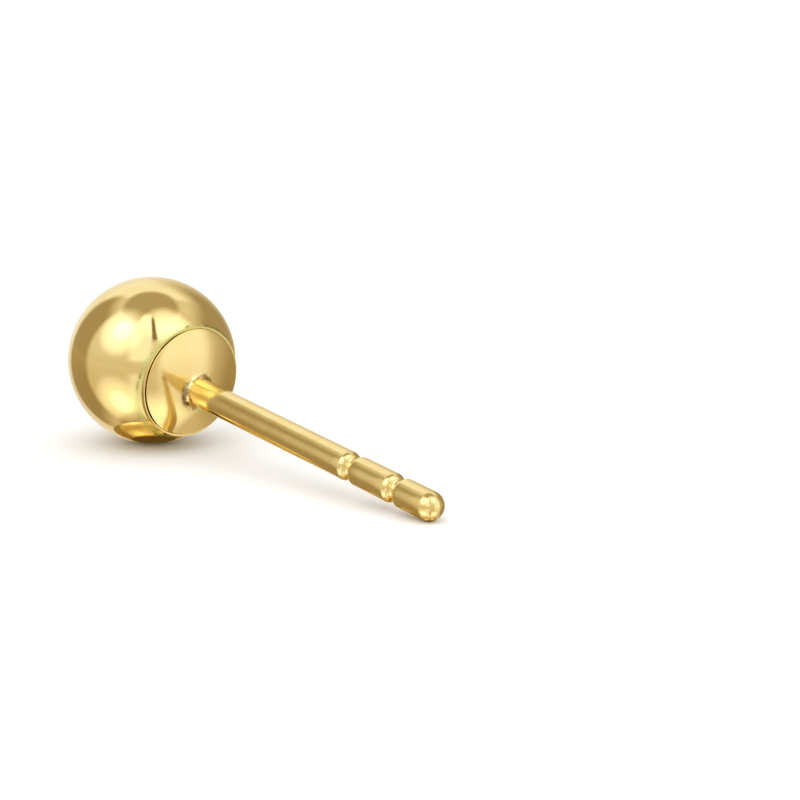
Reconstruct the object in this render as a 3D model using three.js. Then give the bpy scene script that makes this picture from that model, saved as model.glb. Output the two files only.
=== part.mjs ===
// Ball stud earring, lying at rest on its ball and on the tip of its ear post.
// Millimetres, Z up. The post points along +X and the floor is Z = 0.
// Each piece is turned round its own Y axis first, then laid down as one group.
import * as THREE from 'three';

// Ball, a hollow shell that is open at the back
const ballRadius = 2.5;
const ballWall = 0.25;

// Collar, the short upright rim that the ball's metal makes round the opening
const collarRadius = 1.685;
const collarWall = 0.045;
const collarEdge = 0.012; // rounding of its top edge
const footAngle = THREE.MathUtils.degToRad(44.7); // where the ball ends at the collar's foot

// Back cap, a domed disc set in the collar
const seamGap = 0.02;
const capEdgeHeight = 2.023; // from the middle of the ball
const capStand = 0.045; // the cap's edge stands this far above the collar's top
const domeRise = 0.328; // from the cap's edge to the top of its dome
const capDepth = 0.36; // upright edge of the disc, inside the collar
const capWall = 0.3; // through the middle of the dome

// The collar and its cap sit a little askew on the ball
const capTilt = THREE.MathUtils.degToRad(5.3); // upward
const capShift = 0.078; // upward

// Ear post, soldered to the cap a little below the middle
const postRadius = 0.42;
const postLength = 10.6; // from the dome to the end of the tip
const postLean = THREE.MathUtils.degToRad(-0.74); // away from the cap's axis, upward
const postShift = -0.188; // from the cap's middle, upward
const solderReach = 0.16;
const solderHeight = 0.14;

// Grooves that a push-on back clicks into
const grooveFromTip = [3.465, 1.63];
const grooveDepth = 0.18;
const grooveShoulder = 0.2; // radius of the rounded shoulders
const grooveBottom = 0.1; // radius at the bottom

// Facets
const sidesRound = 48;
const ballSteps = 19;
const innerSteps = 12;
const domeSteps = 5;
const tipSteps = 5;
const grooveSteps = 3;
const footSteps = 3;

const quarterTurn = Math.PI / 2;

// Points on an arc round (x, y), from one angle to another
function arc(x, y, radius, from, to, steps) {
  const points = [];
  for (let i = 0; i <= steps; i += 1) {
    const angle = from + ((to - from) * i) / steps;
    points.push(new THREE.Vector2(x + radius * Math.cos(angle), y + radius * Math.sin(angle)));
  }
  return points;
}

// Points on a hollow quarter curve that starts level at one point and ends upright at another
function fillet(start, end, steps) {
  const points = [];
  for (let i = 1; i <= steps; i += 1) {
    const angle = (quarterTurn * i) / steps;
    points.push(new THREE.Vector2(
      THREE.MathUtils.lerp(start.x, end.x, Math.sin(angle)),
      THREE.MathUtils.lerp(start.y, end.y, 1 - Math.cos(angle)),
    ));
  }
  return points;
}

// Turns a profile round the Y axis, with a flat facet towards the floor
function turned(profile) {
  const start = Math.PI / sidesRound;
  return new THREE.LatheGeometry(profile, sidesRound, start, 2 * Math.PI);
}

// Sizes along the axis and across it that both pieces share
const collarTop = capEdgeHeight - capStand;
const mouthRadius = collarRadius - collarWall;
const capRadius = mouthRadius - seamGap;
const domeTop = capEdgeHeight + domeRise;
const solderRadius = postRadius + solderReach;

// Moves a point of the upright collar or cap to its place askew on the ball
const sideways = new THREE.Vector3(0, 0, 1);
const tiltPoint = new THREE.Vector3(0, capEdgeHeight, 0);
function setAskew(point) {
  point.sub(tiltPoint).applyAxisAngle(sideways, -capTilt).add(tiltPoint);
  point.x += capShift;
  return point;
}

// Slides a point along the cap's axis until it is on the ball's outside
function slideToBall(point) {
  const axis = new THREE.Vector3(Math.sin(capTilt), Math.cos(capTilt), 0);
  const reach = point.dot(axis);
  return point.addScaledVector(
    axis, Math.sqrt(reach ** 2 - point.lengthSq() + ballRadius ** 2) - reach,
  );
}

// Moves the points of a turned piece, each by its number along the profile
function moveTurned(geometry, count, move) {
  const position = geometry.attributes.position;
  const point = new THREE.Vector3();
  for (let i = 0; i < position.count; i += 1) {
    move(point.fromBufferAttribute(position, i), i % count);
    position.setXYZ(i, point.x, point.y, point.z);
  }
  return geometry;
}

// The ball: outside, collar, and the hollow inside, with the collar set askew
function makeBall() {
  const innerRadius = ballRadius - ballWall;
  const outside = arc(0, 0, ballRadius, -quarterTurn, footAngle, ballSteps);
  const wallFoot = new THREE.Vector2(
    collarRadius, Math.sqrt(ballRadius ** 2 - collarRadius ** 2),
  );
  const outerEdge = arc(
    collarRadius - collarEdge, collarTop - collarEdge, collarEdge, 0, quarterTurn, 2,
  );
  const innerEdge = arc(
    mouthRadius + collarEdge, collarTop - collarEdge, collarEdge,
    quarterTurn, 2 * quarterTurn, 2,
  );
  const inside = arc(
    0, 0, innerRadius, Math.acos(mouthRadius / innerRadius), -quarterTurn, innerSteps,
  );
  const profile = [...outside, wallFoot, ...outerEdge, ...innerEdge, ...inside];
  const lastAskew = profile.length - inside.length;
  return moveTurned(turned(profile), profile.length, (point, number) => {
    if (number < outside.length || number > lastAskew) return;
    setAskew(point);
    if (number === outside.length) slideToBall(point);
  });
}

// One groove, centred at a height on the post, from the shoulder nearer the ball
function grooveProfile(height) {
  const drop = grooveDepth / (grooveShoulder + grooveBottom);
  const turn = Math.acos(1 - drop);
  const half = (grooveShoulder + grooveBottom) * Math.sin(turn);
  const shoulder = postRadius - grooveShoulder;
  const bottom = postRadius - grooveDepth + grooveBottom;
  return [
    ...arc(shoulder, height - half, grooveShoulder, 0, turn, grooveSteps),
    ...arc(bottom, height, grooveBottom, Math.PI + turn, Math.PI - turn, 2 * grooveSteps)
      .slice(1, -1),
    ...arc(shoulder, height + half, grooveShoulder, -turn, 0, grooveSteps),
  ];
}

// The cap and its post: underside, edge, dome, solder, grooves and tip
function capProfile() {
  const domeRadius = (capRadius ** 2 + domeRise ** 2) / (2 * domeRise);
  const domeCentre = domeTop - domeRadius;
  const underBottom = capEdgeHeight - capDepth;
  const underTop = domeTop - capWall;
  const underRise = underTop - underBottom;
  const underRadius = (capRadius ** 2 + underRise ** 2) / (2 * underRise);
  const tipCentre = domeTop + postLength - postRadius;
  const underside = arc(
    0, underTop - underRadius, underRadius,
    quarterTurn, Math.asin((underBottom - underTop + underRadius) / underRadius), domeSteps,
  );
  const dome = arc(
    0, domeCentre, domeRadius,
    Math.asin((capEdgeHeight - domeCentre) / domeRadius), Math.acos(solderRadius / domeRadius),
    domeSteps,
  );
  const postStart = new THREE.Vector2(postRadius, domeTop + solderHeight);
  const solder = fillet(dome.at(-1), postStart, footSteps);
  const grooves = grooveFromTip.flatMap((reach) => grooveProfile(domeTop + postLength - reach));
  const tip = arc(0, tipCentre, postRadius, 0, quarterTurn, tipSteps);
  return [...underside, ...dome, ...solder, ...grooves, ...tip];
}

// The cap with its post: the post leans and is off the middle, and the whole is set askew
function makeCap() {
  const profile = capProfile();
  const foot = new THREE.Vector3(0, domeTop, 0);
  return moveTurned(turned(profile), profile.length, (point) => {
    const lean = THREE.MathUtils.smoothstep(point.y, domeTop, domeTop + solderHeight);
    const reach = Math.hypot(point.x, point.z);
    point.sub(foot).applyAxisAngle(sideways, -postLean * lean).add(foot);
    if (point.y > capEdgeHeight) {
      point.x += postShift * (1 - THREE.MathUtils.smoothstep(reach, solderRadius, capRadius));
    }
    setAskew(point);
  });
}

// A polished gold surface
function gold(colour, roughness) {
  return new THREE.MeshStandardMaterial({ color: colour, roughness, metalness: 1 });
}

const ball = new THREE.Mesh(makeBall(), gold(0xe2c271, 0.12));
ball.name = 'ball';

const cap = new THREE.Mesh(makeCap(), gold(0xdcb966, 0.16));
cap.name = 'back_cap_and_post';

const earring = new THREE.Group();
earring.add(ball, cap);

// Lays the earring down: the ball and the round tip touch the same floor
const tipFromDome = postLength - postRadius;
const tipCentre = setAskew(new THREE.Vector3(
  postShift + tipFromDome * Math.sin(postLean), domeTop + tipFromDome * Math.cos(postLean), 0,
));
const fall = Math.asin((ballRadius - postRadius) / tipCentre.length());
const axisDrop = fall + Math.atan2(tipCentre.x, tipCentre.y);
const across = new THREE.Vector3(Math.sin(axisDrop), 0, Math.cos(axisDrop));
const along = new THREE.Vector3(Math.cos(axisDrop), 0, -Math.sin(axisDrop));
const level = new THREE.Vector3(0, 1, 0);
earring.setRotationFromMatrix(new THREE.Matrix4().makeBasis(across, along, level));

// Stands the middle of its box on the origin
const box = new THREE.Box3().setFromObject(earring, true);
const middle = box.getCenter(new THREE.Vector3());
earring.position.set(-middle.x, -middle.y, -box.min.z);

export default earring;
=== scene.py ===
import math

import bpy
from mathutils import Matrix, Vector


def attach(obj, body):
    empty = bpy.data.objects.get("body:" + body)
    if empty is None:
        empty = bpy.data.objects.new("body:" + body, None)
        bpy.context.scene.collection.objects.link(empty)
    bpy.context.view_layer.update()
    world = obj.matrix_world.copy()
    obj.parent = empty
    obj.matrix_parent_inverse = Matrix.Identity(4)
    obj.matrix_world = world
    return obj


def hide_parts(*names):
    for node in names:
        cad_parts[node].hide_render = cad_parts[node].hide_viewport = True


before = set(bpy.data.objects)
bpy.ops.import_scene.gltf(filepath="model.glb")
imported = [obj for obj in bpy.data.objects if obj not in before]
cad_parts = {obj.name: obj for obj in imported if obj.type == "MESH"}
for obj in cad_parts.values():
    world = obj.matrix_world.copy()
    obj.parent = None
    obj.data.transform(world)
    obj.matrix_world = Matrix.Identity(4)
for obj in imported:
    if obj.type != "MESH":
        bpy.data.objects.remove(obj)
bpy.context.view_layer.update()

scene = bpy.context.scene
mm = 0.001  # pieces are modelled with one unit to the millimetre, then laid down at this scale
quarter = math.radians(90)
touching = 0.0005  # mm: points no further apart than this are one point
smoothAngle = math.radians(32)  # sharper edges stay crisp
print("frame loaded:", ", ".join(sorted(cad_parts)))

# the hollow ball with its collar, the short upright rim round the opening at the back
ballSizes = {
    "radius": 2.5,
    "wall": 0.25,
    "roundEnd": math.radians(45.3),  # where the ball's round ends, from the middle of its back
    "collarRadius": 1.685,
    "collarWall": 0.045,
    "collarEdge": 0.012,
    "seamOpen": math.radians(76),  # the seam is open round this angle, and nearly shut elsewhere
    "seamOpenHalf": math.radians(45),
    "seamOpenFade": math.radians(25),
    "seamWide": 0.032,
    "seamShut": 0.004,
    "sides": 256,
    "rings": 128,
    "footSteps": 5,
    "edgeSteps": 4,
    "insideSteps": 40,
}

# the domed back cap with the post soldered to it
capSizes = {
    "seamGap": 0.02,
    "edgeHeight": 2.023,  # from the middle of the ball
    "stand": 0.045,  # the cap's edge stands this far above the collar
    "edgeRound": 0.012,
    "domeRise": 0.328,
    "depth": 0.36,
    "wall": 0.3,
    "tilt": math.radians(5.3),  # collar and cap sit a little askew, tipped and moved upward
    "shift": 0.078,
    "postRadius": 0.42,
    "postLength": 10.6,
    "postLean": math.radians(-0.74),
    "postShift": -0.188,
    "solderReach": 0.16,
    "solderHeight": 0.14,
    "lumpDepth": 0.014,  # how far the solder's surface wanders
    "lumpSizes": (0.2, 0.05),  # broad lumps, then grains
    "lumpBelow": 0.1,  # the lumps reach this far down the dome
    "lumpFadeOut": (-0.04, 0.06),  # they fade out across the dome, from the solder's edge
    "lumpFadeUp": (-0.05, 0.06),  # and up the post, from the solder's top
    "grooveFromTip": (3.465, 1.63),
    "grooveDepth": 0.18,
    "grooveShoulder": 0.2,
    "grooveBottom": 0.1,
    "sides": 192,
    "domeSteps": 28,
    "underSteps": 20,
    "solderSteps": 14,
    "shoulderSteps": 9,
    "bottomSteps": 10,
    "tipSteps": 28,
    "shaftStep": 0.3,  # length of a ring of faces on the straight post
}

ballRadius = ballSizes["radius"]
edgeHeight = capSizes["edgeHeight"]
collarTop = edgeHeight - capSizes["stand"]
mouthRadius = ballSizes["collarRadius"] - ballSizes["collarWall"]
capRadius = mouthRadius - capSizes["seamGap"]
domeTop = edgeHeight + capSizes["domeRise"]
solderRadius = capSizes["postRadius"] + capSizes["solderReach"]
tiltPoint = Vector((0, 0, edgeHeight))


def setAskew(point, share=1):
    # tips and moves a point of the collar or the cap upward, which is towards -X while it stands
    turned = Matrix.Rotation(-capSizes["tilt"] * share, 3, "Y") @ (point - tiltPoint)
    return turned + tiltPoint - Vector((capSizes["shift"] * share, 0, 0))


# it lies on the ball and on the round tip of the post
tipReach = capSizes["postLength"] - capSizes["postRadius"]
tipCentre = setAskew(Vector((
    -capSizes["postShift"] - tipReach * math.sin(capSizes["postLean"]), 0,
    domeTop + tipReach * math.cos(capSizes["postLean"]))))
fall = math.asin((ballRadius - capSizes["postRadius"]) / tipCentre.length)
axisDrop = fall + math.atan2(-tipCentre.x, tipCentre.z)
tipFromBall = tipCentre.length * math.cos(fall)
ballX = -(tipFromBall + capSizes["postRadius"] - ballRadius) / 2
ballCentre = Vector((ballX, 0, ballRadius)) * mm
layTurn = (0, quarter + axisDrop, 0)


def deselectAll():
    bpy.ops.object.select_all(action="DESELECT")


def arcPoints(middle, radius, start, end, steps):
    # (radius, height) points round a middle, angles from the outward direction
    points = []
    for i in range(steps + 1):
        angle = start + (end - start) * i / steps
        points.append((middle[0] + radius * math.cos(angle), middle[1] + radius * math.sin(angle)))
    return points


def filletPoints(start, end, steps):
    # leaves the first point level and reaches the last one upright
    points = []
    for i in range(1, steps + 1):
        angle = quarter * i / steps
        points.append((
            start[0] + (end[0] - start[0]) * math.sin(angle),
            start[1] + (end[1] - start[1]) * (1 - math.cos(angle)),
        ))
    return points


def growRings(current, points):
    # pulls the selected ring through the points, a new ring of faces at each
    for radius, height in points:
        bpy.ops.mesh.extrude_region_move(
            TRANSFORM_OT_translate={"value": (0, 0, height - current[1])})
        bpy.ops.transform.resize(
            value=(radius / current[0], radius / current[0], 1), center_override=(0, 0, height))
        current = (radius, height)
    return current


def closePole():
    bpy.ops.mesh.extrude_region_move(TRANSFORM_OT_translate={"value": (0, 0, 0)})
    bpy.ops.mesh.merge(type="CENTER")


def selectOpenEdge():
    bpy.ops.mesh.select_all(action="DESELECT")
    bpy.ops.mesh.select_non_manifold()


def smoothShare(value, low, high):
    share = min(1, max(0, (value - low) / (high - low)))
    return share * share * (3 - 2 * share)


def roughen(piece, groupName, weights, grainSize, strength):
    # pushes the vertices of a group in and out a little, as grainy metal
    group = piece.vertex_groups.new(name=groupName)
    for index, weight in weights.items():
        group.add([index], weight, "REPLACE")
    grain = bpy.data.textures.new(groupName, "CLOUDS")
    grain.noise_scale = grainSize
    grain.noise_depth = 3
    grain.noise_basis = "ORIGINAL_PERLIN"
    push = piece.modifiers.new(groupName, "DISPLACE")
    push.texture = grain
    push.vertex_group = groupName
    push.strength = strength
    push.mid_level = 0.5
    bpy.ops.object.modifier_apply(modifier=push.name)
    piece.vertex_groups.clear()


def cleanMesh():
    bpy.ops.object.mode_set(mode="EDIT")
    bpy.ops.mesh.select_all(action="SELECT")
    bpy.ops.mesh.remove_doubles(threshold=touching)
    bpy.ops.mesh.normals_make_consistent(inside=False)
    bpy.ops.mesh.select_all(action="DESELECT")
    bpy.ops.object.mode_set(mode="OBJECT")
    bpy.ops.object.shade_smooth_by_angle(angle=smoothAngle)


def layDown(piece):
    # from standing on end at the origin to its place on the floor
    piece.scale = (mm, mm, mm)
    piece.rotation_euler = layTurn
    piece.location = ballCentre
    deselectAll()
    piece.select_set(True)
    bpy.context.view_layer.objects.active = piece
    bpy.ops.object.transform_apply(location=True, rotation=True, scale=True)


def slideToBall(point):
    # along the cap's own axis until it is on the ball's outside
    axis = Vector((-math.sin(capSizes["tilt"]), 0, math.cos(capSizes["tilt"])))
    reach = point.dot(axis)
    return point + axis * (math.sqrt(reach ** 2 - point.length_squared + ballRadius ** 2) - reach)


def turnFromTop(point):
    # angle round the axis: 0 at what becomes the top, a quarter turn at the camera's left
    return math.atan2(-point.y, -point.x)


def narrowSeam(ball):
    # the collar's inner edge nearly meets the cap, but for the stretch where the seam is open
    s = ballSizes
    innerTop = math.sqrt((ballRadius - s["wall"]) ** 2 - mouthRadius ** 2)
    for vertex in ball.data.vertices:
        out = math.hypot(vertex.co.x, vertex.co.y)
        if vertex.co.z < innerTop - touching or out > s["collarRadius"] - s["collarWall"] / 2:
            continue
        away = abs(math.remainder(turnFromTop(vertex.co) - s["seamOpen"], 4 * quarter))
        shut = smoothShare(away, s["seamOpenHalf"], s["seamOpenHalf"] + s["seamOpenFade"])
        gap = s["seamWide"] + (s["seamShut"] - s["seamWide"]) * shut
        closer = 1 + (gap - capSizes["seamGap"]) / out
        vertex.co = (vertex.co.x * closer, vertex.co.y * closer, vertex.co.z)


def setCollarAskew(ball):
    # the collar whole, and the last of the round by a growing share, so that the two still meet
    s = ballSizes
    roundTop = ballRadius * math.cos(s["roundEnd"])
    innerTop = math.sqrt((ballRadius - s["wall"]) ** 2 - mouthRadius ** 2)
    footEnd = math.asin(s["collarRadius"] / ballRadius)
    for vertex in ball.data.vertices:
        out = math.hypot(vertex.co.x, vertex.co.y)
        inMouth = out < s["collarRadius"] - touching and vertex.co.z > innerTop - touching
        if vertex.co.z < roundTop + touching and not inMouth:
            continue
        if abs(vertex.co.length - ballRadius) < touching:
            turned = math.asin(out / ballRadius)
            share = (s["roundEnd"] - turned) / (s["roundEnd"] - footEnd)
            vertex.co = slideToBall(setAskew(vertex.co, share))
        else:
            vertex.co = setAskew(vertex.co)


def makeBall():
    s = ballSizes
    edgeRadius = s["collarEdge"]
    innerRadius = ballRadius - s["wall"]
    footEnd = math.asin(s["collarRadius"] / ballRadius)

    deselectAll()
    bpy.ops.mesh.primitive_uv_sphere_add(
        segments=s["sides"], ring_count=s["rings"], radius=ballRadius, location=(0, 0, 0))
    ball = bpy.context.object
    ball.name = "ball_shell"
    bpy.ops.object.mode_set(mode="EDIT")
    bpy.ops.mesh.select_all(action="SELECT")
    bpy.ops.mesh.bisect(
        plane_co=(0, 0, ballRadius * math.cos(s["roundEnd"])), plane_no=(0, 0, 1),
        clear_outer=True, threshold=0.00001)
    selectOpenEdge()

    # over the last of the round, up the collar, and down into the hollow
    foot = arcPoints(
        (0, 0), ballRadius, quarter - s["roundEnd"], quarter - footEnd, s["footSteps"])
    edgeMiddle = collarTop - edgeRadius
    edge = arcPoints(
        (s["collarRadius"] - edgeRadius, edgeMiddle), edgeRadius, 0, quarter, s["edgeSteps"])
    edge += arcPoints(
        (mouthRadius + edgeRadius, edgeMiddle), edgeRadius, quarter, 2 * quarter, s["edgeSteps"])
    inside = arcPoints(
        (0, 0), innerRadius, math.acos(mouthRadius / innerRadius), -quarter, s["insideSteps"])
    growRings(foot[0], foot[1:] + edge + inside[:-1])
    closePole()
    bpy.ops.object.mode_set(mode="OBJECT")
    narrowSeam(ball)
    setCollarAskew(ball)
    cleanMesh()
    return ball


def groovePoints(height):
    # a rounded shoulder, a hollow bottom, and the other shoulder
    s = capSizes
    bend = math.acos(1 - s["grooveDepth"] / (s["grooveShoulder"] + s["grooveBottom"]))
    half = (s["grooveShoulder"] + s["grooveBottom"]) * math.sin(bend)
    shoulder = s["postRadius"] - s["grooveShoulder"]
    bottom = s["postRadius"] - s["grooveDepth"] + s["grooveBottom"]
    turn = 2 * quarter
    first = arcPoints(
        (shoulder, height - half), s["grooveShoulder"], 0, bend, s["shoulderSteps"])
    hollow = arcPoints(
        (bottom, height), s["grooveBottom"], turn + bend, turn - bend, s["bottomSteps"])
    last = arcPoints(
        (shoulder, height + half), s["grooveShoulder"], -bend, 0, s["shoulderSteps"])
    return first + hollow[1:-1] + last


def shaftPoints(start, end):
    # straight lengths between the grooves, then the round tip
    s = capSizes
    points = []
    height = start
    for reach in s["grooveFromTip"]:
        groove = groovePoints(end - reach)
        length = groove[0][1] - height
        steps = max(2, round(length / s["shaftStep"]))
        points += [(s["postRadius"], height + length * i / steps) for i in range(1, steps)]
        points += groove
        height = groove[-1][1]
    tip = arcPoints((0, end - s["postRadius"]), s["postRadius"], 0, quarter, s["tipSteps"])
    return points + tip[:-1]


def setPostAskew(cap):
    # the post leans and is off the middle, and the whole cap sits askew with the collar
    s = capSizes
    foot = Vector((0, 0, domeTop))
    for vertex in cap.data.vertices:
        point = vertex.co.copy()
        out = math.hypot(point.x, point.y)
        lean = s["postLean"] * smoothShare(point.z, domeTop, domeTop + s["solderHeight"])
        onTop = point.z > edgeHeight
        point = Matrix.Rotation(-lean, 3, "Y") @ (point - foot) + foot
        if onTop:
            point.x -= s["postShift"] * (1 - smoothShare(out, solderRadius, capRadius))
        vertex.co = setAskew(point)


def makeCapAndPost():
    s = capSizes
    domeRadius = (capRadius ** 2 + s["domeRise"] ** 2) / (2 * s["domeRise"])
    domeMiddle = domeTop - domeRadius
    underBottom = edgeHeight - s["depth"]
    underTop = domeTop - s["wall"]
    underRise = underTop - underBottom
    underRadius = (capRadius ** 2 + underRise ** 2) / (2 * underRise)
    postStart = domeTop + s["solderHeight"]

    deselectAll()
    bpy.ops.mesh.primitive_circle_add(
        vertices=s["sides"], radius=capRadius, fill_type="NOTHING", location=(0, 0, underBottom))
    cap = bpy.context.object
    cap.name = "cap_and_post"
    bpy.ops.object.transform_apply(location=True, rotation=False, scale=False)
    bpy.ops.object.mode_set(mode="EDIT")
    bpy.ops.mesh.select_all(action="SELECT")

    # upright edge, over the dome to the solder, and along the post
    start = math.asin((edgeHeight - domeMiddle) / domeRadius)
    end = math.acos(solderRadius / domeRadius)
    dome = arcPoints((0, domeMiddle), domeRadius, start, end, s["domeSteps"])
    edgeRound = s["edgeRound"]
    rim = [(capRadius, edgeHeight - edgeRound),
           (capRadius - 0.3 * edgeRound, edgeHeight - 0.1 * edgeRound)]
    solder = filletPoints(dome[-1], (s["postRadius"], postStart), s["solderSteps"])
    shaft = shaftPoints(postStart, domeTop + s["postLength"])
    growRings((capRadius, underBottom), rim + dome[1:] + solder + shaft)
    closePole()

    # dished underside
    selectOpenEdge()
    under = arcPoints(
        (0, underTop - underRadius), underRadius,
        math.asin((underBottom - underTop + underRadius) / underRadius), quarter,
        s["underSteps"])
    growRings((capRadius, underBottom), under[1:-1])
    closePole()
    bpy.ops.object.mode_set(mode="OBJECT")

    # lumpy solder round the foot of the post
    fadeOut = [solderRadius + reach for reach in s["lumpFadeOut"]]
    fadeUp = [postStart + reach for reach in s["lumpFadeUp"]]
    lumps = {}
    for vertex in cap.data.vertices:
        out = math.hypot(vertex.co.x, vertex.co.y)
        if vertex.co.z > domeTop - s["lumpBelow"] and out > s["postRadius"] - touching:
            weight = (1 - smoothShare(out, *fadeOut)) * (1 - smoothShare(vertex.co.z, *fadeUp))
            if weight > 0:
                lumps[vertex.index] = weight
    for name, grainSize in zip(("solderLumps", "solderGrains"), s["lumpSizes"]):
        roughen(cap, name, lumps, grainSize, s["lumpDepth"])
    setPostAskew(cap)
    cleanMesh()
    return cap


ball = makeBall()
layDown(ball)
print("ball:", len(ball.data.polygons), "faces")
cap = makeCapAndPost()
layDown(cap)
print("cap and post:", len(cap.data.polygons), "faces")

for piece, node, slot in ((ball, "ball", "ball_gold"), (cap, "back_cap_and_post", "post_gold")):
    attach(piece, "root")
    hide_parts(node)


def newGroup(name, inputs, outputs):
    group = bpy.data.node_groups.new(name, "ShaderNodeTree")
    for label, kind, value in inputs:
        socket = group.interface.new_socket(label, in_out="INPUT", socket_type=kind)
        if value is not None:
            socket.default_value = value
    for label, kind in outputs:
        group.interface.new_socket(label, in_out="OUTPUT", socket_type=kind)
    return group, group.nodes.new("NodeGroupInput"), group.nodes.new("NodeGroupOutput")


def feed(tree, socket, value):
    # links an output to the socket, or sets a plain value on it
    if isinstance(value, bpy.types.NodeSocket):
        tree.links.new(value, socket)
    else:
        socket.default_value = value


def maths(tree, operation, *values):
    node = tree.nodes.new("ShaderNodeMath")
    node.operation = operation
    for i, value in enumerate(values):
        feed(tree, node.inputs[i], value)
    return node.outputs[0]


def ramp(tree, value, low, high, outLow=0.0, outHigh=1.0):
    node = tree.nodes.new("ShaderNodeMapRange")
    node.interpolation_type = "SMOOTHSTEP"
    for i, v in enumerate((value, low, high, outLow, outHigh)):
        feed(tree, node.inputs[i], v)
    return node.outputs[0]


def mixColour(tree, factor, a, b):
    node = tree.nodes.new("ShaderNodeMix")
    node.data_type = "RGBA"
    for i, value in ((0, factor), (6, a), (7, b)):
        feed(tree, node.inputs[i], value)
    return node.outputs[2]


def noise(tree, vector, scale, detail, rough=0.5):
    node = tree.nodes.new("ShaderNodeTexNoise")
    for label, value in (("Vector", vector), ("Scale", scale), ("Detail", detail),
                         ("Roughness", rough)):
        feed(tree, node.inputs[label], value)
    return node.outputs["Fac"]


def splitVector(tree, vector):
    node = tree.nodes.new("ShaderNodeSeparateXYZ")
    tree.links.new(vector, node.inputs[0])
    return node.outputs


def useGroup(tree, group, **values):
    # inputs are named as in the group, without their spaces
    node = tree.nodes.new("ShaderNodeGroup")
    node.node_tree = group
    sockets = {socket.name.replace(" ", "").lower(): socket for socket in node.inputs}
    for key, value in values.items():
        feed(tree, sockets[key.lower()], value)
    return node.outputs


def makeRingMask():
    # a soft band along a circle round the piece's axis
    tree, source, target = newGroup(
        "ringMask",
        (("Vector", "NodeSocketVector", None), ("Radius", "NodeSocketFloat", 1.0),
         ("Height", "NodeSocketFloat", 1.0), ("Width", "NodeSocketFloat", 0.1)),
        (("Mask", "NodeSocketFloat"),))
    x, y, z = splitVector(tree, source.outputs["Vector"])
    out = maths(tree, "SQRT", maths(
        tree, "ADD", maths(tree, "MULTIPLY", x, x), maths(tree, "MULTIPLY", y, y)))
    outward = maths(tree, "SUBTRACT", out, source.outputs["Radius"])
    upward = maths(tree, "SUBTRACT", z, source.outputs["Height"])
    away = maths(tree, "SQRT", maths(
        tree, "ADD", maths(tree, "MULTIPLY", outward, outward),
        maths(tree, "MULTIPLY", upward, upward)))
    mask = ramp(tree, away, 0.0, source.outputs["Width"], 1.0, 0.0)
    tree.links.new(mask, target.inputs["Mask"])
    return tree


def makeSpecks():
    # sparse specks of dirt or grain
    tree, source, target = newGroup(
        "specks",
        (("Vector", "NodeSocketVector", None), ("Scale", "NodeSocketFloat", 10.0),
         ("Cover", "NodeSocketFloat", 0.5), ("Soft", "NodeSocketFloat", 0.1)),
        (("Mask", "NodeSocketFloat"),))
    grain = noise(tree, source.outputs["Vector"], source.outputs["Scale"], 4.0, 0.6)
    high = maths(tree, "ADD", source.outputs["Cover"], source.outputs["Soft"])
    tree.links.new(ramp(tree, grain, source.outputs["Cover"], high), target.inputs["Mask"])
    return tree


def makePolish():
    # what a polishing wheel leaves: faint waves, hair scratches, uneven gloss
    tree, source, target = newGroup(
        "polish",
        (("Vector", "NodeSocketVector", None), ("Wave Scale", "NodeSocketFloat", 0.8),
         ("Scratch Scale", "NodeSocketFloat", 6.0), ("Scratch Stretch", "NodeSocketVector", None),
         ("Scratch Depth", "NodeSocketFloat", 0.02), ("Base Roughness", "NodeSocketFloat", 0.08),
         ("Roughness Spread", "NodeSocketFloat", 0.04)),
        (("Height", "NodeSocketFloat"), ("Roughness", "NodeSocketFloat"),
         ("Cloud", "NodeSocketFloat")))
    wave = noise(tree, source.outputs["Vector"], source.outputs["Wave Scale"], 1.0)
    stretch = tree.nodes.new("ShaderNodeVectorMath")
    stretch.operation = "MULTIPLY"
    tree.links.new(source.outputs["Vector"], stretch.inputs[0])
    tree.links.new(source.outputs["Scratch Stretch"], stretch.inputs[1])
    hair = noise(tree, stretch.outputs[0], source.outputs["Scratch Scale"], 6.0, 0.7)
    height = maths(tree, "ADD", maths(tree, "MULTIPLY", wave, 0.5),
                   maths(tree, "MULTIPLY", hair, source.outputs["Scratch Depth"]))
    tree.links.new(height, target.inputs["Height"])
    uneven = maths(tree, "MULTIPLY", ramp(tree, hair, 0.35, 0.75),
                   source.outputs["Roughness Spread"])
    tree.links.new(maths(tree, "ADD", source.outputs["Base Roughness"], uneven),
                   target.inputs["Roughness"])
    tree.links.new(ramp(tree, wave, 0.3, 0.7), target.inputs["Cloud"])
    return tree


ringMask = makeRingMask()
specks = makeSpecks()
polish = makePolish()
print("node groups made")

goldLooks = {
    "gold": (0.95, 0.77, 0.36, 1),
    "warmGold": (0.94, 0.74, 0.32, 1),
    "greenGold": (0.76, 0.70, 0.28, 1),  # dulled band along the collar's foot
    # dark specks along the ball's seam, and the solder's grains inside the painted shade round the
    # post's foot
    "sootGold": (0.12, 0.08, 0.035, 1),
    # painted shade for the solder round the post's foot
    "solderGold": (0.34, 0.25, 0.11, 1),
    "ballRoughness": 0.06,
    "postRoughness": 0.09,
    "bumpDistance": 0.00002,
    "ballBump": 0.4,
    "postBump": 0.5,
    "dullInset": 0.03,  # mm: the dull band's middle, up and in from where the round ends
    "dullWidth": 0.17,
    "dullRoughness": 0.2,
    "footLineWidth": 0.05,
    "heatShare": 0.55,  # middle of the solder's dark, as a share of the solder's reach
    "heatHeight": 0.02,
    "heatWidth": 0.15,
    "heatRoughness": 0.22,
    "dirtDepth": 0.4,
    "markFade": (0.4, 1.2),  # a mark fades between these shares of its half length
    # small dark marks where the ball's round ends: angle from the top, half length, strength
    "footMarks": ((7, 3, 0.9), (-17, 4.5, 0.9), (-34, 16, 0.45), (52, 1.2, 0.8), (81, 11, 0.6)),
    # painted shade on the solder round the post's foot, where the post meets the dome, given in
    # the same way
    "solderMarks": ((115, 75, 1.0), (-45, 28, 0.85)),
}


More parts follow.
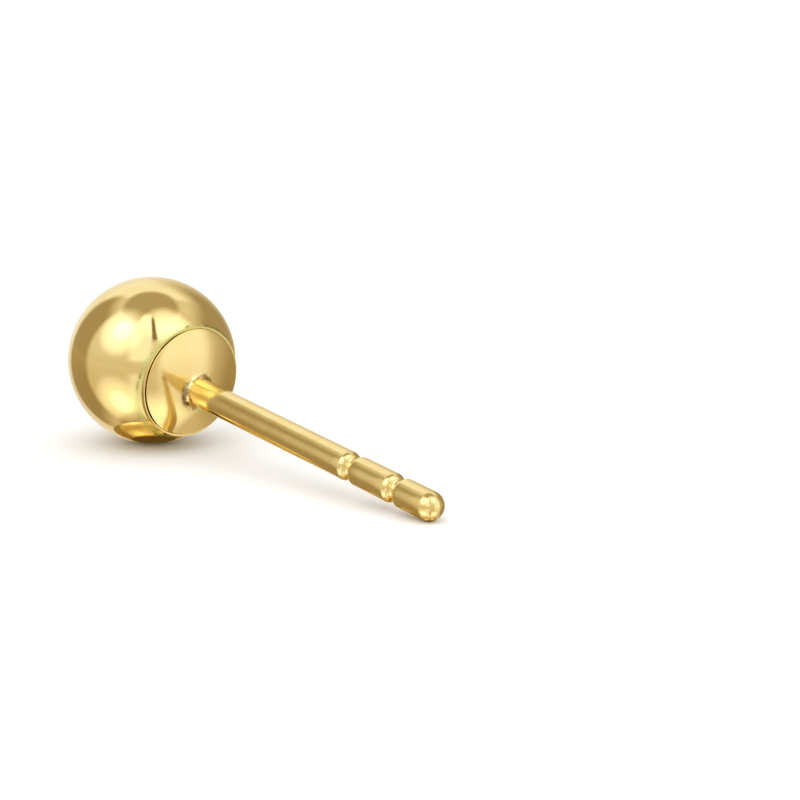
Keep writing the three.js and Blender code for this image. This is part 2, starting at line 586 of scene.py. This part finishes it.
def newGold(name):
    # local coordinates in millimetres, with Z along the earring's own axis
    material = bpy.data.materials.new(name)
    material.use_nodes = True
    tree = material.node_tree
    shader = tree.nodes["Principled BSDF"]
    shader.inputs["Metallic"].default_value = 1.0
    coordinates = tree.nodes.new("ShaderNodeTexCoord")
    place = tree.nodes.new("ShaderNodeMapping")
    place.vector_type = "TEXTURE"
    place.inputs["Location"].default_value = ballCentre
    place.inputs["Rotation"].default_value = layTurn
    place.inputs["Scale"].default_value = (mm, mm, mm)
    tree.links.new(coordinates.outputs["Object"], place.inputs["Vector"])
    return material, tree, shader, place.outputs[0]


def bumpFrom(tree, height, shader, strength):
    bump = tree.nodes.new("ShaderNodeBump")
    bump.inputs["Strength"].default_value = strength
    bump.inputs["Distance"].default_value = goldLooks["bumpDistance"]
    tree.links.new(height, bump.inputs["Height"])
    tree.links.new(bump.outputs[0], shader.inputs["Normal"])


def markMask(tree, vector, marks):
    # angle round the axis, 0 at the top of the laid-down earring
    x, y, _ = splitVector(tree, vector)
    solid, gone = goldLooks["markFade"]
    around = maths(tree, "DEGREES", maths(
        tree, "ARCTAN2", maths(tree, "MULTIPLY", y, -1.0), maths(tree, "MULTIPLY", x, -1.0)))
    total = 0.0
    for middle, half, strength in marks:
        away = maths(tree, "ABSOLUTE", maths(
            tree, "WRAP", maths(tree, "SUBTRACT", around, float(middle)), 180.0, -180.0))
        mark = ramp(tree, away, half * solid, half * gone, strength, 0.0)
        total = maths(tree, "MAXIMUM", mark, total)
    return total


def makeBallGold():
    look = goldLooks
    material, tree, shader, local = newGold("ball_polished_gold")
    wheel = useGroup(tree, polish, vector=local, waveScale=0.7, scratchScale=5.0,
                     scratchStretch=(1, 1, 4), scratchDepth=0.015,
                     baseRoughness=look["ballRoughness"], roughnessSpread=0.04)
    footRadius = ballRadius * math.sin(ballSizes["roundEnd"])
    footHeight = ballRadius * math.cos(ballSizes["roundEnd"])
    dullBand = useGroup(tree, ringMask, vector=local, radius=footRadius - look["dullInset"],
                        height=footHeight + look["dullInset"], width=look["dullWidth"])[0]
    footLine = useGroup(tree, ringMask, vector=local, radius=footRadius, height=footHeight,
                        width=look["footLineWidth"])[0]
    grain = useGroup(tree, specks, vector=local, scale=6.0, cover=0.4, soft=0.15)[0]
    marks = maths(tree, "MULTIPLY", maths(tree, "MULTIPLY", footLine, grain),
                  markMask(tree, local, look["footMarks"]))
    colour = mixColour(tree, wheel["Cloud"], look["gold"], look["warmGold"])
    colour = mixColour(tree, dullBand, colour, look["greenGold"])
    colour = mixColour(tree, marks, colour, look["sootGold"])
    tree.links.new(colour, shader.inputs["Base Color"])
    rough = maths(tree, "ADD", wheel["Roughness"],
                  maths(tree, "MULTIPLY", dullBand, look["dullRoughness"]))
    tree.links.new(rough, shader.inputs["Roughness"])
    bumpFrom(tree, wheel["Height"], shader, look["ballBump"])
    return material


def makePostGold():
    look = goldLooks
    material, tree, shader, local = newGold("post_drawn_gold")
    wheel = useGroup(tree, polish, vector=local, waveScale=1.2, scratchScale=9.0,
                     scratchStretch=(1, 1, 0.06), scratchDepth=0.02,
                     baseRoughness=look["postRoughness"], roughnessSpread=0.06)
    postFoot = setAskew(Vector((-capSizes["postShift"], 0, domeTop)))
    aroundPost = tree.nodes.new("ShaderNodeVectorMath")
    aroundPost.operation = "SUBTRACT"
    tree.links.new(local, aroundPost.inputs[0])
    aroundPost.inputs[1].default_value = postFoot
    # the ring round the post's foot that the painted shade is laid along
    solder = useGroup(tree, ringMask, vector=aroundPost.outputs[0],
                      radius=capSizes["postRadius"] + capSizes["solderReach"] * look["heatShare"],
                      height=look["heatHeight"], width=look["heatWidth"])[0]
    patches = useGroup(tree, specks, vector=local, scale=1.6, cover=0.36, soft=0.16)[0]
    grains = useGroup(tree, specks, vector=local, scale=7.0, cover=0.4, soft=0.2)[0]
    patches = maths(tree, "MULTIPLY", patches,
                    markMask(tree, aroundPost.outputs[0], look["solderMarks"]))
    colour = mixColour(tree, wheel["Cloud"], look["gold"], look["warmGold"])
    # painted shade: the solder is darkened on the sides given in the marks, where the post meets
    # the dome
    paintedShade = maths(tree, "MULTIPLY", solder, patches)
    colour = mixColour(tree, paintedShade, colour, look["solderGold"])
    # the solder's grainy specks, painted darker still inside the painted shade, and pressed in a
    # little
    grainsAndShade = maths(tree, "MULTIPLY", paintedShade, grains)
    colour = mixColour(tree, grainsAndShade, colour, look["sootGold"])
    tree.links.new(colour, shader.inputs["Base Color"])
    rough = maths(tree, "ADD", wheel["Roughness"],
                  maths(tree, "MULTIPLY", paintedShade, look["heatRoughness"]))
    tree.links.new(rough, shader.inputs["Roughness"])
    height = maths(tree, "SUBTRACT", wheel["Height"],
                   maths(tree, "MULTIPLY", grainsAndShade, look["dirtDepth"]))
    bumpFrom(tree, height, shader, look["postBump"])
    return material


for piece, makeGold in ((ball, makeBallGold), (cap, makePostGold)):
    piece.data.materials.clear()
    piece.data.materials.append(makeGold())
print("gold materials made")

cameraPlan = {
    "azimuth": 48.5,
    "elevation": 12.15,
    "lens": 105.75,
    "sensor": 36.0,
    "clip": (0.001, 10),
    "imageSide": 800,
    "ballPixel": (152.13, 359.9),  # where the ball's middle is in the image
    "ballDepth": 70.45,  # mm from the lens to the ball's middle, along the view
}


def directionAt(azimuth, elevation):
    # azimuth in degrees from the front, which is -Y, towards +X
    a, e = math.radians(azimuth), math.radians(elevation)
    return Vector((math.sin(a) * math.cos(e), -math.cos(a) * math.cos(e), math.sin(e)))


def makeCamera():
    plan = cameraPlan
    back = directionAt(plan["azimuth"], plan["elevation"])
    right = directionAt(plan["azimuth"] + 90, 0)
    up = back.cross(right)
    perPixel = plan["ballDepth"] * mm * plan["sensor"] / plan["lens"] / plan["imageSide"]
    half = plan["imageSide"] / 2
    aside = (plan["ballPixel"][0] - half) * perPixel
    above = (half - plan["ballPixel"][1]) * perPixel
    data = bpy.data.cameras.new("photo_camera")
    data.lens = plan["lens"]
    data.sensor_width = plan["sensor"]
    data.clip_start, data.clip_end = plan["clip"]
    camera = bpy.data.objects.new("photo_camera", data)
    camera.location = ballCentre - aside * right - above * up + plan["ballDepth"] * mm * back
    camera.rotation_mode = "QUATERNION"
    camera.rotation_quaternion = (-back).to_track_quat("-Z", "Y")
    scene.collection.objects.link(camera)
    scene.camera = camera


makeCamera()
print("camera placed")

floorPlan = {
    "side": 3.0,
    "colour": (0.95, 0.95, 0.95, 1),
    "roughness": 0.6,
    # the polished surface that it is in the gold's reflections alone
    "mirrorColour": (0.78, 0.74, 0.67, 1),
    "mirrorGlow": (0.05, 0.035, 0.013, 1),
    "mirrorRoughness": 0.03,
}


def makeFloor():
    plan = floorPlan
    deselectAll()
    bpy.ops.mesh.primitive_plane_add(size=plan["side"], location=(0, 0, 0))
    floor = bpy.context.object
    floor.name = "pale_floor"
    material = bpy.data.materials.new("pale_floor")
    material.use_nodes = True
    tree = material.node_tree
    shader = tree.nodes["Principled BSDF"]
    shader.inputs["Specular IOR Level"].default_value = 0.0
    inGold = tree.nodes.new("ShaderNodeLightPath").outputs["Is Glossy Ray"]
    tree.links.new(mixColour(tree, inGold, plan["colour"], plan["mirrorColour"]),
                   shader.inputs["Base Color"])
    tree.links.new(mixColour(tree, inGold, (0, 0, 0, 1), plan["mirrorGlow"]),
                   shader.inputs["Emission Color"])
    shader.inputs["Emission Strength"].default_value = 1.0
    tree.links.new(inGold, shader.inputs["Metallic"])
    tree.links.new(ramp(tree, inGold, 0.0, 1.0, plan["roughness"], plan["mirrorRoughness"]),
                   shader.inputs["Roughness"])
    floor.data.materials.append(material)


# the soft light all round, as a tent of panels: angles are from the camera's side, in degrees
tentPlan = {
    "room": 1.24,  # the plain light on the floor
    "open": 0.80,  # the tent where nothing hangs, as it shows in the gold
    # name, azimuth, elevation, half width, half height, soft width, soft height, brightness
    "panels": (
        ("horizon", 0, 0, 400, 2, 1, 15, 0.73),
        ("backGround", 182, 5, 36, 28, 16, 16, 0.95),
        ("backPanel", 182, 45, 40, 13, 9, 9, 1.02),
        ("leftGap", -117, 0, 17.5, 40, 11, 20, 0.41),
        ("rightPanel", 66, 12, 16, 30, 14, 14, 1.1),
        ("rightGap", 135, 0, 18, 28, 40, 26, 0.40),
        ("roof", 0, 90, 400, 25, 1, 8, 0.47),
        ("frontPanel", -10, 42, 9, 28, 14, 10, 1.12),
    ),
    # name, azimuth, elevation, spread, brightness
    "glows": (
        ("upperGlow", -50, 46, 18, 0.9),
        ("upperHalo", -52, 44, 36, 0.75),
        ("keyGlow", 40, 56, 32, 0.85),
    ),
    # dark seams over the glows, given as the panels are
    "seams": (
        ("slit", 11.5, 54, 2.4, 13, 4, 8, 0.22),
    ),
    # the dimmer the tent, the warmer it shows in the gold: brightness and tint
    "tints": (
        (0.30, (1, 0.77, 0.45, 1)),
        (0.62, (1, 0.90, 0.70, 1)),
        (1.10, (1, 1, 1, 1)),
    ),
}


def makePanelGroup():
    tree, source, target = newGroup(
        "softPanel",
        (("Azimuth", "NodeSocketFloat", 0.0), ("Elevation", "NodeSocketFloat", 0.0),
         ("Middle Azimuth", "NodeSocketFloat", 0.0), ("Middle Elevation", "NodeSocketFloat", 0.0),
         ("Half Width", "NodeSocketFloat", 20.0), ("Half Height", "NodeSocketFloat", 20.0),
         ("Soft Width", "NodeSocketFloat", 10.0), ("Soft Height", "NodeSocketFloat", 10.0)),
        (("Mask", "NodeSocketFloat"),))
    aside = maths(tree, "SUBTRACT", source.outputs["Azimuth"], source.outputs["Middle Azimuth"])
    aside = maths(tree, "ABSOLUTE", maths(tree, "WRAP", aside, 180.0, -180.0))
    above = maths(tree, "ABSOLUTE", maths(
        tree, "SUBTRACT", source.outputs["Elevation"], source.outputs["Middle Elevation"]))
    masks = []
    for away, side in ((aside, "Width"), (above, "Height")):
        inner = source.outputs["Half " + side]
        outer = maths(tree, "ADD", inner, source.outputs["Soft " + side])
        masks.append(ramp(tree, away, inner, outer, 1.0, 0.0))
    tree.links.new(maths(tree, "MULTIPLY", *masks), target.inputs["Mask"])
    return tree


def makeWorld():
    world = bpy.data.worlds.new("light_tent")
    scene.world = world
    world.use_nodes = True
    tree = world.node_tree
    background = tree.nodes["Background"]
    direction = tree.nodes.new("ShaderNodeTexCoord").outputs["Generated"]
    x, y, z = splitVector(tree, direction)
    azimuth = maths(tree, "DEGREES", maths(tree, "ARCTAN2", x, maths(tree, "MULTIPLY", y, -1.0)))
    azimuth = maths(tree, "SUBTRACT", azimuth, cameraPlan["azimuth"])
    elevation = maths(tree, "DEGREES", maths(tree, "ARCSINE", z))
    panel = makePanelGroup()

    def hang(level, panels):
        for name, mid, height, halfWidth, halfHeight, softWidth, softHeight, bright in panels:
            mask = useGroup(tree, panel, azimuth=azimuth, elevation=elevation, middleAzimuth=mid,
                            middleElevation=height, halfWidth=halfWidth, halfHeight=halfHeight,
                            softWidth=softWidth, softHeight=softHeight)
            mixed = tree.nodes.new("ShaderNodeMix")
            mixed.label = name
            for i, value in ((0, mask[0]), (2, level), (3, bright)):
                feed(tree, mixed.inputs[i], value)
            level = mixed.outputs[0]
        return level

    level = hang(tentPlan["open"], tentPlan["panels"])
    for name, mid, height, spread, bright in tentPlan["glows"]:
        near = tree.nodes.new("ShaderNodeVectorMath")
        near.operation = "DOT_PRODUCT"
        near.label = name
        tree.links.new(direction, near.inputs[0])
        near.inputs[1].default_value = directionAt(mid + cameraPlan["azimuth"], height)
        glow = ramp(tree, near.outputs["Value"], math.cos(math.radians(spread)), 1.0, 0.0, bright)
        level = maths(tree, "ADD", level, glow)
    level = hang(level, tentPlan["seams"])

    last, tint = tentPlan["tints"][0]
    for bright, nextTint in tentPlan["tints"][1:]:
        tint = mixColour(tree, ramp(tree, level, last, bright), tint, nextTint)
        last = bright
    path = tree.nodes.new("ShaderNodeLightPath").outputs
    tint = mixColour(tree, path["Is Glossy Ray"], (1, 1, 1, 1), tint)
    tree.links.new(tint, background.inputs["Color"])
    tree.links.new(ramp(tree, path["Is Glossy Ray"], 0.0, 1.0, tentPlan["room"], level),
                   background.inputs["Strength"])


# one lamp that the gold doesn't show, for the soft shadow
keyLight = {"size": 0.12, "watts": 0.02, "azimuth": 15, "elevation": 62, "distance": 0.25}


def makeKeyLight():
    toward = directionAt(keyLight["azimuth"], keyLight["elevation"])
    data = bpy.data.lights.new("soft_key", "AREA")
    data.shape = "SQUARE"
    data.size = keyLight["size"]
    data.energy = keyLight["watts"]
    light = bpy.data.objects.new("soft_key", data)
    light.location = toward * keyLight["distance"]
    light.rotation_mode = "QUATERNION"
    light.rotation_quaternion = toward.to_track_quat("Z", "Y")
    light.visible_glossy = False
    scene.collection.objects.link(light)


makeFloor()
makeWorld()
makeKeyLight()
scene.view_settings.view_transform = "Standard"
print("floor and light made")
